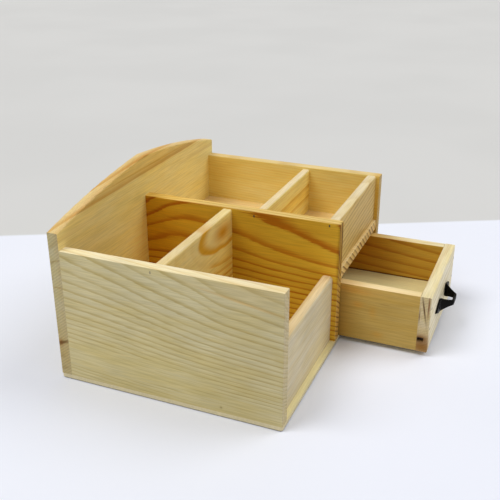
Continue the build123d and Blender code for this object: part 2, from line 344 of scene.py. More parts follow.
@dataclass(frozen=True)
class Pine:
    """Planed and sanded pine, with rings that run right through the board.

    Attributes:
        length: the way the fibres run.
        thickness: the way through the board.
        rings: the log it came from.
        face: colours on the wide faces.
        outer: colours on the wide face at the high side, where they differ.
        edge: colours on the long narrow edges.
        end: colours across the fibres.
        swells: places where the rings bend.
        calms: places where the late wood hardly shows.
        eyes: ovals where the rings close.
        stains_and_painted_light: patches of another colour.
        contrast: how strongly the late wood shows.
        fibre: strength of the fine streaks.
        saw_slope: how steeply the saw marks cross the ends.
        saw_depth: how strongly those marks show.
        seed: moves the random patterns.
    """

    REFERENCE = 50.0  # distance from the pith, in millimetres, at which Rings.width holds
    BEND = 45 * MM  # length of a ring's bend across the grain
    RAGGED = 0.8 * MM  # how far the fibres fray a ring's edge
    SAW_PITCH = 2.5 * MM
    SAW_WAVER = 9.0  # how far the saw marks stray, in radians
    # lumps in a metre: patches, bent outlines, streaks, a ring's fray, fibres, sanded nap
    PATCHES, OUTLINE, STREAKS, FRAY, FIBRES, NAP = 22, 60, 130, 900, 1400, 2600

    length: Way
    thickness: Way
    rings: Rings
    face: Tone
    edge: Tone
    end: Tone = Tone((0.62, 0.52, 0.30), (0.40, 0.28, 0.11))
    outer: Tone | None = None
    swells: tuple[Swell, ...] = ()
    calms: tuple[Calm, ...] = ()
    eyes: tuple[Eye, ...] = ()
    stains_and_painted_light: tuple[StainAndPaintedLight, ...] = ()
    contrast: float = 1.0
    fibre: float = 0.10
    saw_slope: float = 0.6
    saw_depth: float = 0.05
    seed: float = 0.0

    @property
    def width(self) -> Way:
        """The way across the board's wide faces."""
        return next(way for way in Way if way not in (self.length, self.thickness))

    def dress(self, node: str) -> None:
        """Gives a board of the frame its own cut of this wood.

        Args:
            node: the board's name.
        """
        low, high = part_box(node)
        graph = Graph(bpy.data.materials.new(f"pine_{node}"))
        middle = (low + high) / 2
        count = self._ring_count(graph, low, high)
        late = self._late_wood(graph, count)
        place = graph.shifted(graph.place, self.OUTLINE, 1.5 * MM)
        for calm in self.calms:
            shown = graph.ease(calm.inside(graph, place, middle), 0.25, 0.45, 1.0, 1.0 - calm.share)
            late = graph.math("MULTIPLY", late, shown)
        for eye in self.eyes:
            late = self._closed_ring(graph, late, eye.inside(graph, place, middle))
        colour, end_grain = self._colour(graph, late)
        colour = self._streaks(graph, colour, end_grain)
        # stains, and patches of painted light and shade
        for tinted_patch in self.stains_and_painted_light:
            colour = graph.mix(tinted_patch.inside(graph, place, middle), colour, tinted_patch.colour, "MULTIPLY")
        graph.fill({"Base Color": colour})
        self._surface(graph, late, end_grain)
        wear(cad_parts[node], graph.owner)

    def _ring_count(self, graph: Graph, low: Vector, high: Vector) -> Socket:
        """Number of rings between the pith and each point.

        The distance from the pith line is the length of the cross product of the line's direction
        with the way to the point, after slow noise has bent the space and each swell has added its
        hill. The count is that distance to a power, so the rings crowd together outwards.

        Args:
            graph: the material.
            low: the board's lowest corner.
            high: its highest corner.

        Returns:
            The socket that holds the count, whose whole numbers are the ends of rings.
        """
        rings, middle = self.rings, (low + high) / 2
        ends = []
        for side, across, deep in zip((low, high), rings.across, rings.deep):
            point = middle + along(self.width, across * MM) + along(self.thickness, deep * MM)
            point[self.length.value] = side[self.length.value]
            ends.append(point)
        direction = (ends[1] - ends[0]).normalized()

        seeded = graph.vector("ADD", graph.place, (self.seed, -self.seed, self.seed / 2))
        stretched = graph.drawn_out(seeded, self.length, 0.35)
        bent = graph.shifted(stretched, 1 / self.BEND, 2 * rings.waver * MM)

        offset = graph.vector("SUBTRACT", bent, ends[0])
        distance = graph.vector("LENGTH", graph.vector("CROSS_PRODUCT", offset, direction))
        for swell in self.swells:
            hill = swell.inside(graph, graph.place, middle)
            distance = graph.math("MULTIPLY_ADD", hill, swell.push * MM, distance)

        ragged = graph.noise(graph.drawn_out(seeded, self.length, 0.06), self.FRAY, 1.0)
        distance = graph.math("MULTIPLY_ADD", ragged, self.RAGGED, distance)

        power = rings.crowding
        first = (rings.width * power * self.REFERENCE ** (power - 1)) ** (1 / power)
        count = graph.math("POWER", graph.math("DIVIDE", distance, first * MM), power)
        count = graph.math("ADD", count, rings.phase)
        along_count = graph.add_node("CombineXYZ", {}, {"X": count, "Y": self.seed * 100}, 0)
        uneven = graph.math("SUBTRACT", graph.noise(along_count, 0.7, 1.0), 0.5)
        return graph.math("MULTIPLY_ADD", uneven, 2 * rings.uneven, count)

    def _late_wood(self, graph: Graph, count: Socket) -> Socket:
        """Darkness of the late wood, which builds up slowly in a ring and ends sharply.

        Args:
            graph: the material.
            count: the ring count.

        Returns:
            The socket that holds the darkness, from 0 to 1.
        """
        part = graph.math("FRACT", count)
        start = 1 - self.rings.late_share
        rise = graph.ease(part, start - 0.2, 0.92)
        fall = graph.ease(part, 0.93, 1.0, 1.0, 0.0)
        number = graph.math("ADD", graph.math("FLOOR", count), self.seed)
        strength = graph.ease(graph.chance(number), 0.0, 1.0, 0.65, 1.0)
        early_shade = graph.ease(part, 0.0, 1.0, 0.0, 0.22)
        band = graph.math("MULTIPLY", graph.math("MULTIPLY", rise, fall), strength)
        return graph.math("MULTIPLY", graph.math("MAXIMUM", band, early_shade), self.contrast)

    def _closed_ring(self, graph: Graph, late: Socket, inside: Socket) -> Socket:
        """Wipes the late wood inside an oval and lays its dark band along the rim.

        The square root of minus the logarithm of the oval's hill is the distance from its centre,
        counted in radii.

        Args:
            graph: the material.
            late: the late wood's darkness so far.
            inside: how far each point lies inside the oval.

        Returns:
            The socket that holds the new darkness.
        """
        depth = graph.math("LOGARITHM", inside, math.e)
        radius = graph.math("SQRT", graph.math("MULTIPLY", depth, -1.0))
        rise, fall = graph.ease(radius, 0.7, 0.96), graph.ease(radius, 1.0, 1.1, 1.0, 0.0)
        band = graph.math("MULTIPLY", rise, fall)
        outside = graph.math("MULTIPLY", late, graph.ease(radius, 0.9, 1.05))
        return graph.math("MAXIMUM", outside, graph.math("MULTIPLY", band, self.contrast))

    def _colour(self, graph: Graph, late: Socket) -> tuple[Socket, Socket]:
        """Colour by the kind of cut, which the surface's normal tells.

        Args:
            graph: the material.
            late: the late wood's darkness.

        Returns:
            The colour, and how far the surface is end grain.
        """
        sizes = graph.vector("ABSOLUTE", graph.facing)
        thick = graph.vector("DOT_PRODUCT", sizes, along(self.thickness))
        ends = graph.vector("DOT_PRODUCT", sizes, along(self.length))
        on_face = graph.ease(thick, 0.55, 0.9)
        end_grain = graph.ease(ends, 0.55, 0.9)
        cuts = (self.edge, self.face, self.end, self.outer or self.face)
        edge, face, end, outer = (graph.mix(late, tone.early, tone.late) for tone in cuts)
        side = graph.vector("DOT_PRODUCT", graph.facing, along(self.thickness))
        colour = graph.mix(on_face, edge, graph.mix(graph.ease(side, 0.0, 0.5), face, outer))
        return graph.mix(end_grain, colour, end), end_grain

    def _streaks(self, graph: Graph, colour: Socket, end_grain: Socket) -> Socket:
        """Fine fibres along the grain, slow lighter and darker patches, and saw marks on the ends.

        Args:
            graph: the material.
            colour: the wood's colour so far.
            end_grain: how far the surface is end grain.

        Returns:
            The socket that holds the colour.
        """
        seeded = graph.vector("ADD", graph.place, (self.seed * 3, self.seed, -self.seed))
        fibres = graph.noise(graph.drawn_out(seeded, self.length, 0.03), self.FIBRES, 3.0, 0.6)
        patches = graph.noise(seeded, self.PATCHES, 2.0)
        streaks = graph.noise(graph.drawn_out(seeded, self.length, 0.2), self.STREAKS, 2.0)
        tint = graph.mix(graph.swing(streaks, 0.0, 1.0), (0.985, 0.965, 0.88), (1.015, 1.035, 1.12))
        colour = graph.mix(1.0, colour, tint, "MULTIPLY")
        light = graph.swing(fibres, 1 - self.fibre, 1 + self.fibre)
        light = graph.math("MULTIPLY", light, graph.swing(patches, 0.97, 1.03))
        slanted = along(self.width) + along(self.thickness, self.saw_slope)
        across_marks = graph.vector("DOT_PRODUCT", graph.place, slanted)
        waver = graph.math("MULTIPLY", patches, self.SAW_WAVER)
        turns = graph.math("MULTIPLY_ADD", across_marks, 2 * math.pi / self.SAW_PITCH, waver)
        marks = graph.math("SINE", turns)
        sawn = graph.math("MULTIPLY_ADD", graph.math("MULTIPLY", marks, end_grain), self.saw_depth, 1.0)
        return graph.brighten(colour, graph.math("MULTIPLY", light, sawn))

    def _surface(self, graph: Graph, late: Socket, end_grain: Socket) -> None:
        """Sheen and relief: sanded fibres, late wood that stands a little proud, duller ends.

        Args:
            graph: the material.
            late: the late wood's darkness.
            end_grain: how far the surface is end grain.
        """
        fibres = graph.noise(graph.drawn_out(graph.place, self.length, 0.04), self.NAP, 2.0)
        graph.relief(graph.math("MULTIPLY_ADD", late, 0.5, fibres), 0.06 * MM, 0.6)
        rough = graph.math("MULTIPLY_ADD", late, -0.08, 0.6)
        rough = graph.math("MULTIPLY_ADD", end_grain, 0.1, rough)
        graph.fill({"Roughness": rough, "Specular IOR Level": 0.25})


def wear(piece: bpy.types.Object, material: bpy.types.Material) -> None:
    """Puts one material on the whole of a piece, in the material slots that it has.

    Args:
        piece: the piece.
        material: what it wears.
    """
    if not piece.material_slots:
        piece.data.materials.append(material)
    for slot in piece.material_slots:
        slot.material = material


def closed_tube(name: str, sections: np.ndarray) -> bpy.types.Object:
    """Skins a row of closed sections, with a pole that closes each end.

    Args:
        name: the piece's name.
        sections: array of sections by points by coordinates, in metres.

    Returns:
        The new object, shaded smooth.
    """
    rows, columns = sections.shape[:2]
    index = np.arange(rows * columns).reshape(rows, columns)
    beside = np.roll(index, -1, axis=1)
    quads = np.stack([index[:-1], index[1:], beside[1:], beside[:-1]], axis=-1).reshape(-1, 4)
    poles = rows * columns + np.arange(2)
    first = np.stack([np.full(columns, poles[0]), index[0], beside[0]], axis=-1)
    last = np.stack([np.full(columns, poles[1]), beside[-1], index[-1]], axis=-1)
    points = np.concatenate([sections.reshape(-1, 3), sections[[0, -1]].mean(axis=1)])
    mesh = bpy.data.meshes.new(name)
    mesh.from_pydata(points.tolist(), [], quads.tolist() + first.tolist() + last.tolist())
    mesh.shade_smooth()
    piece = bpy.data.objects.new(name, mesh)
    bpy.context.scene.collection.objects.link(piece)
    return piece


@dataclass(frozen=True)
class ThinPanel:
    """Sanded thin board of pressed fibres or peeled veneer.

    Attributes:
        length: the way the face veneer runs.
        face: its colour.
        core: colour of its sawn edges; where those edges show only down a groove, a near black that paints
            the groove's shade.
        painted_foot_shade: height of a painted shade along its lower edge, a dark line that stands in for
            the contact shadow under the panel, in millimetres.
    """

    length: Way
    face: Colour
    core: Colour
    painted_foot_shade: float = 0.0

    def dress(self, node: str) -> None:
        """Gives a panel of the frame this finish.

        Args:
            node: the panel's name.
        """
        graph = Graph(bpy.data.materials.new(f"panel_{node}"))
        fibres = graph.noise(graph.drawn_out(graph.place, self.length, 0.06), 700, 3.0, 0.6)
        patches = graph.noise(graph.place, 25, 2.0)
        sizes = graph.vector("ABSOLUTE", graph.facing)
        on_face = graph.ease(graph.vector("DOT_PRODUCT", sizes, along(Way.Z)), 0.5, 0.9)
        slow = graph.swing(patches, 0.96, 1.04)
        light = graph.math("MULTIPLY", graph.swing(fibres, 0.93, 1.06), slow)
        colour = graph.mix(on_face, self.core, self.face)
        # painted shade: darkens the panel's lowest strip, a contact shadow line under it
        if self.painted_foot_shade:
            rise = graph.vector("DOT_PRODUCT", graph.place, along(Way.Z))
            rim = graph.ease(rise, self.painted_foot_shade / 2 * MM, self.painted_foot_shade * MM, 0.25, 1.0)
            light = graph.math("MULTIPLY", light, rim)
        rough = graph.swing(fibres, 0.6, 0.7)
        graph.fill({"Base Color": graph.brighten(colour, light), "Roughness": rough})
        graph.relief(fibres, 0.04 * MM, 0.5)
        wear(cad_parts[node], graph.owner)


@dataclass(frozen=True)
class Metal:
    """Metal of the fasteners or the pull.

    Attributes:
        colour: its own or its paint's colour.
        roughness: how dull it is, at its shiniest and dullest.
        metallic: 1 for bare metal, 0 for paint.
        grain: lumps of its surface in a metre.
        sheen: strength of its reflections.
    """

    LUMP = 0.02 * MM  # height of a lump

    colour: Colour
    roughness: tuple[float, float]
    metallic: float = 0.0
    grain: float = 2000.0
    sheen: float = 0.5

    def material(self, name: str) -> bpy.types.Material:
        """Makes this finish.

        Args:
            name: the material's name.

        Returns:
            The new material.
        """
        graph = Graph(bpy.data.materials.new(name))
        lumps = graph.noise(graph.place, self.grain, 3.0, 0.6)
        patches = graph.noise(graph.place, self.grain / 6, 2.0)
        colour = graph.brighten(self.colour, graph.swing(patches, 0.75, 1.3))
        graph.fill({"Base Color": colour, "Roughness": graph.swing(patches, *self.roughness)})
        graph.fill({"Metallic": self.metallic, "Specular IOR Level": self.sheen})
        graph.relief(lumps, self.LUMP, 0.5)
        return graph.owner


# ---- carcass and drawer


@dataclass
class Assembly:
    """Boards that move together. Each field is the finish of the board or panel with its name.

    BRADS holds the names of the groups of nails.
    """

    BRADS = ()

    def dress(self, steel: bpy.types.Material) -> None:
        """Finishes every board, panel and nail.

        Args:
            steel: the nails' material.
        """
        for part in fields(self):
            getattr(self, part.name).dress(part.name)
            LOG.info("%s dressed", part.name)
        for node in self.BRADS:
            wear(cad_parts[node], steel)
            LOG.info("%s dressed", node)


@dataclass
class Carcass(Assembly):
    """The fixed boards: base, back, three walls, and what crosses the two bays."""

    BRADS = (
        "left_wall_brads", "partition_tray_brads", "partition_left_brads", "right_wall_brads",
        "back_board_brads", "base_brads",
    )
    FILLED = Metal(colour=(0.30, 0.25, 0.15), roughness=(0.6, 0.8))
    PALE = Tone((0.70, 0.60, 0.33), (0.54, 0.41, 0.16))
    CREAM = Tone((0.90, 0.79, 0.50), (0.80, 0.62, 0.32))

    # the base's lower edge carries a painted contact shadow line
    base_panel: ThinPanel = ThinPanel(Way.X, (0.88, 0.78, 0.42), (0.70, 0.60, 0.36), painted_foot_shade=1.1)
    left_side_wall: Pine = Pine(
        Way.Y, Way.X,
        rings=Rings(
            across=(81, 71), deep=(49, 82), width=8.22, crowding=2.21, phase=-6.07,
            late_share=0.3, uneven=0.04, waver=0.3,
        ),
        face=Tone((0.615, 0.53, 0.285), (0.475, 0.37, 0.14)),
        edge=CREAM,
        end=Tone((0.62, 0.52, 0.30), (0.50, 0.39, 0.19)),
        swells=(
            Swell((-4.5, -25, 29), (60, 43, 13), 4.4),
            Swell((-4.5, 23, 25), (60, 56, 25), 6.7),
            Swell((-4.5, -40, 35), (60, 14, 13), -1.9),
            Swell((-4.5, -2, 26), (60, 56, 16), -6.3),
            Swell((-4.5, 56, -16), (60, 45, 12), 1.4),
        ),
        calms=(Calm((-4.5, 45, -32), (60, 80, 10), 0.7), Calm((-4.5, -60, -50), (60, 60, 12), 0.5)),
        stains_and_painted_light=(
            StainAndPaintedLight((-4.5, -66, 50), (9, 40, 10), (1.0, 0.94, 0.832)),
            Line((-4.5, -56, 39), (9, 36, 9), (1.02, 0.87, 0.66), lean=(0, -42, -7), width=1.6),
            StainAndPaintedLight((-4.5, 10, -40), (20, 110, 34), (1.0, 0.98, 0.86)),
            # painted light: a little brighter towards the wall's back end
            StainAndPaintedLight((-4.5, 85, 0), (20, 60, 90), (1.05, 1.04, 1.02)),
            StainAndPaintedLight((-4.5, -39.5, -48), (2, 0.9, 0.9), (0.62, 0.56, 0.42)),
            # painted shade: a little darker towards the wall's front end
            StainAndPaintedLight((-4.5, -85, 0), (20, 60, 90), (0.96, 0.95, 0.94)),
        ),
    )
    centre_partition: Pine = Pine(
        Way.Y, Way.X, contrast=1.25, seed=0.31,
        rings=Rings(
            across=(56, 57), deep=(55, 52), width=4.32, crowding=1.17, phase=-14.48,
            late_share=0.3, uneven=0.05, waver=0.4,
        ),
        face=Tone((0.72, 0.42, 0.028), (0.47, 0.152, 0.0005)),
        edge=Tone((0.85, 0.61, 0.21), (0.62, 0.38, 0.065)),
        end=Tone((0.74, 0.44, 0.09), (0.22, 0.07, 0.005)),
        swells=(
            Swell((-4.5, 81, 21), (60, 49, 12), 2.7),
            Swell((-4.5, -11, 57), (60, 90, 51), 9.7),
            Swell((-4.5, 5, -32), (60, 23, 79), 1.8),
            Swell((-4.5, -76, 11), (60, 90, 17), -2.4),
            Swell((-4.5, 56, 38), (60, 41, 24), 6.3),
        ),
        stains_and_painted_light=(
            StainAndPaintedLight((-4.5, 85, 20), (30, 46, 60), (1.0, 0.84, 0.35)),
            StainAndPaintedLight((0, -85.5, 25), (20, 1.5, 40), (0.54, 0.48, 0.20)),
            # painted shade: darker over the partition's upper front
            StainAndPaintedLight((-4.5, -40, 50), (30, 70, 24), (0.88, 0.86, 0.8)),
            Line((1.9, -85.5, 41), (9, 3, 14), (0.10, 0.06, 0.02), lean=(3.5, 0, -22), width=1.3),
        ),
    )
    right_side_wall: Pine = Pine(
        Way.Y, Way.X, contrast=0.6, fibre=0.05, seed=0.57,
        rings=Rings(across=(120, 128), deep=(5, -5), width=2.6),
        face=Tone((0.87, 0.69, 0.22), (0.80, 0.52, 0.10)),
        edge=Tone((0.79, 0.60, 0.26), (0.61, 0.39, 0.11)),
        outer=PALE,
        stains_and_painted_light=(
            StainAndPaintedLight((-2, -84, 20), (9, 5, 60), (0.84, 0.64, 0.30)),
            StainAndPaintedLight((-4.5, 70, 42), (20, 22, 12), (0.90, 0.81, 0.60)),
            StainAndPaintedLight((-4.5, 34, 18), (20, 30, 18), (0.97, 1.02, 1.26)),
        ),
    )
    back_board: Pine = Pine(
        Way.X, Way.Y, saw_slope=0.8, saw_depth=0.1, seed=0.83,
        rings=Rings(
            across=(149.5, 151.5), deep=(80, 80), width=10.0, phase=0.12, late_share=0.3,
            uneven=0.0, waver=0.6,
        ),
        face=Tone((0.90, 0.74, 0.28), (0.62, 0.38, 0.08)),
        edge=Tone((0.80, 0.60, 0.26), (0.66, 0.38, 0.09)),
        end=Tone((0.52, 0.44, 0.23), (0.42, 0.33, 0.15)),
        outer=PALE,
        calms=(Calm((0, -4.5, -12), (300, 8, 59), 0.95),),
        stains_and_painted_light=(
            StainAndPaintedLight((0, -4.5, 66), (200, 6, 13), (0.86, 0.73, 0.52)),
            Line((0, -4.5, 59), (90, 3, 6), (0.86, 0.74, 0.50), lean=(1, 0, 0), width=1.3),
            StainAndPaintedLight((-110, -4, 30), (60, 3, 60), (0.93, 0.87, 0.84)),
            StainAndPaintedLight((-18, -4.5, -8), (26, 6, 18), (1.12, 1.08, 0.97)),
            StainAndPaintedLight((-18, -4.5, 24), (26, 6, 18), (1.06, 1.01, 0.85)),
            StainAndPaintedLight((-128, 0, -50), (9, 9, 28), (0.94, 0.84, 0.68)),
            Line((-128.5, -0.5, -40.5), (4, 6, 5), (0.42, 0.32, 0.20), lean=(0, -9, 3.4), width=2.0),
            StainAndPaintedLight((-128.5, 2.0, -41.5), (4, 2.0, 3.0), (0.66, 0.40, 0.16)),
            Line((-128.5, 0, 26), (4, 7, 5), (0.84, 0.78, 0.66), lean=(0, -9, 3), width=1.0),
            Line((-128.5, 0, 5), (4, 7, 5), (0.88, 0.78, 0.66), lean=(0, -9, 0.5), width=1.0),
        ),
    )
    left_cross_divider: Pine = Pine(
        Way.X, Way.Y, seed=1.13,
        rings=Rings(
            across=(40.9, 45.3), deep=(-62.8, -8.6), width=5.38, crowding=0.9, phase=-6.83,
            late_share=0.5, uneven=0.1, waver=0.6,
        ),
        face=Tone((0.82, 0.62, 0.23), (0.66, 0.33, 0.02)),
        edge=Tone((0.77, 0.61, 0.31), (0.68, 0.45, 0.17)),
        swells=(Swell((67.5, -4.05, 33.2), (50.9, 60, 13.4), 16.4),),
        calms=(Calm((-26, -4, 40), (52, 30, 34), 0.85),),
        eyes=(Eye((53, -4, 42), (55, 60, 16.5)),),
        stains_and_painted_light=(
            StainAndPaintedLight((39, -4, 39), (15, 9, 7.5), (0.66, 0.37, 0.04)),
            StainAndPaintedLight((40, -4, 5), (40, 9, 24), (1.08, 1.02, 0.76)),
            # painted light: brightens the end next to the partition, against the shade that falls there
            StainAndPaintedLight((54, -4, 22), (24, 9, 70), (1.15, 1.16, 0.98)),
        ),
    )
    left_front_wall: Pine = Pine(
        Way.X, Way.Y, contrast=0.4, seed=1.37,
        rings=Rings(across=(60, 66), deep=(40, 30), width=7.0),
        face=Tone((0.68, 0.58, 0.37), (0.62, 0.48, 0.25)),
        edge=Tone((0.74, 0.56, 0.29), (0.62, 0.41, 0.15)),
        # painted light: brightens the lower right, where the partition's end shades the recess
        stains_and_painted_light=(StainAndPaintedLight((32, -4.5, -20), (24, 9, 14), (1.17, 1.15, 1.03)),),
    )
    tray_floor: Pine = Pine(
        Way.Y, Way.Z, saw_depth=0.0, seed=1.71,
        rings=Rings(
            across=(-260, -260), deep=(-311, -300), width=5.2, late_share=0.42, uneven=0.2, waver=0.6
        ),
        face=Tone((0.86, 0.64, 0.28), (0.81, 0.57, 0.23)),
        edge=CREAM,
        end=Tone((0.83, 0.57, 0.21), (0.17, 0.07, 0.01)),
    )
    tray_front_wall: Pine = Pine(
        Way.X, Way.Y, seed=1.93,
        rings=Rings(
            across=(-150, -139), deep=(30, 24), width=4.4, phase=-0.2, late_share=0.3,
            uneven=0.3, waver=0.9,
        ),
        face=Tone((0.69, 0.49, 0.17), (0.42, 0.23, 0.038)),
        edge=Tone((0.80, 0.66, 0.39), (0.72, 0.56, 0.29)),
        stains_and_painted_light=(StainAndPaintedLight((8, -4.5, -18), (38, 4, 3.5), (0.88, 0.77, 0.52)),),
    )
    tray_cross_divider: Pine = Pine(
        Way.X, Way.Y, seed=2.27,
        rings=Rings(across=(-70, -69), deep=(0, 0), width=10.5, phase=0.68, uneven=0.0, waver=0.6),
        face=Tone((0.98, 0.81, 0.28), (0.72, 0.42, 0.03)),
        edge=Tone((0.82, 0.66, 0.38), (0.72, 0.54, 0.27)),
        calms=(Calm((0, 0, -20), (90, 30, 9), 0.8), Calm((0, 0, 20), (90, 30, 8), 0.8)),
        stains_and_painted_light=(StainAndPaintedLight((0, 0, 1.6), (90, 30, 6), (1.0, 0.88, 0.55)),),
    )

    def dress(self, steel: bpy.types.Material) -> None:
        """Finishes the carcass; the nails in the left wall are filled over in the wood's colour.

        Args:
            steel: the other nails' material.
        """
        super().dress(steel)
        wear(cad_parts["left_wall_brads"], self.FILLED.material("filled_brads"))


@dataclass
class Drawer(Assembly):
    """The sliding box: front, sides, back and bottom."""

    BRADS = ("drawer_front_brads", "drawer_left_brads", "drawer_right_brads", "drawer_bottom_brads")
    CREAM = Tone((0.81, 0.70, 0.41), (0.70, 0.54, 0.27))
    PEACH = Tone((0.81, 0.65, 0.34), (0.78, 0.50, 0.22))
    TAN = Tone((0.51, 0.335, 0.08), (0.42, 0.25, 0.035))
    END = Tone((0.66, 0.54, 0.30), (0.40, 0.26, 0.10))
    FINE = Rings(across=(100, 104), deep=(10, -4), width=3.0)

    # painted shade: the bottom's edges show only down the front's groove, so their near-black colour
    # paints the shade in it
    drawer_bottom: ThinPanel = ThinPanel(Way.Y, (0.82, 0.71, 0.35), (0.06, 0.03, 0.02))
    drawer_front: Pine = Pine(
        Way.X, Way.Y, contrast=0.7, seed=2.51,
        rings=Rings(across=(70, 66), deep=(16, 22), width=6.0),
        face=Tone((0.88, 0.78, 0.52), (0.64, 0.51, 0.31)),
        edge=CREAM,
        end=Tone((0.62, 0.50, 0.28), (0.54, 0.42, 0.22)),
        stains_and_painted_light=(
            # painted shade: near-black band along the groove for the bottom, the shade down in it
            StainAndPaintedLight((0, 2.4, -13.4), (200, 3.6, 2.4), (0.06, 0.015, 0.01)),
            StainAndPaintedLight((-56, 1.5, -12.5), (5, 6, 4), (0.62, 0.40, 0.20)),
            StainAndPaintedLight((-56, 0, -20), (6, 14, 8), (0.46, 0.26, 0.07)),
            Line((-56, 0.6, 13), (4, 5, 13), (0.20, 0.13, 0.08), lean=(0, -4.5, -22.7), width=1.0),
            Line((-56, -2.7, 17), (4, 3, 10), (0.40, 0.22, 0.12), width=1.1),
            Line((-56, 3.9, 7), (4, 3, 6), (0.34, 0.24, 0.15)),
        ),
    )
    drawer_left_side: Pine = Pine(
        Way.Y, Way.X, contrast=0.3, seed=2.83,
        rings=FINE, face=TAN, edge=PEACH, end=END,
        stains_and_painted_light=(
            # painted light: brighter along the top of the side
            StainAndPaintedLight((-4, -40, 23), (6, 60, 9), (1.16, 1.15, 1.20)),
            # painted shade with an orange-brown tint: darker towards the back, next to the partition, in
            # this patch and the next
            StainAndPaintedLight((-4, -6, -2), (9, 18, 60), (0.85, 0.68, 0.34)),
            StainAndPaintedLight((-4, -19, -4), (6, 18, 30), (0.93, 0.90, 0.82)),
            StainAndPaintedLight((-4, -29, 20), (5, 16, 3), (1.10, 0.92, 0.70)),
            StainAndPaintedLight((-4, -31, 8), (5, 5, 3), (1.12, 0.93, 0.68)),
            StainAndPaintedLight((-4, -43, 3), (5, 3, 5), (1.08, 0.94, 0.72)),
            StainAndPaintedLight((-4, -48, -17), (5, 5, 3), (1.08, 0.94, 0.72)),
            Line((-4, -53, 11.5), (5, 5, 3), (0.74, 0.62, 0.46), lean=(0, 1, 0), width=0.6),
        ),
    )
    drawer_right_side: Pine = Pine(
        Way.Y, Way.X, seed=3.11,
        rings=Rings(
            across=(47.8, 41.6), deep=(-36.1, -59.2), width=6.7, phase=0.15, uneven=0.0, waver=0.4
        ),
        face=Tone((0.62, 0.365, 0.042), (0.40, 0.14, 0.003)),
        edge=CREAM, end=END, outer=TAN,
        stains_and_painted_light=(
            StainAndPaintedLight((-4, -4, 14), (20, 34, 40), (0.95, 0.68, 0.25)),
            # painted shadow: dark line along the bottom of the inner face, the shade of the groove above
            # the bottom panel
            Line((-4.5, -40, -11.2), (2, 200, 4), (0.30, 0.20, 0.10), lean=(0, 1, 0), width=1.4),
        ),
    )
    drawer_back: Pine = Pine(
        Way.X, Way.Y, contrast=0.5, seed=3.37,
        rings=FINE, face=TAN, edge=CREAM, end=END,
    )


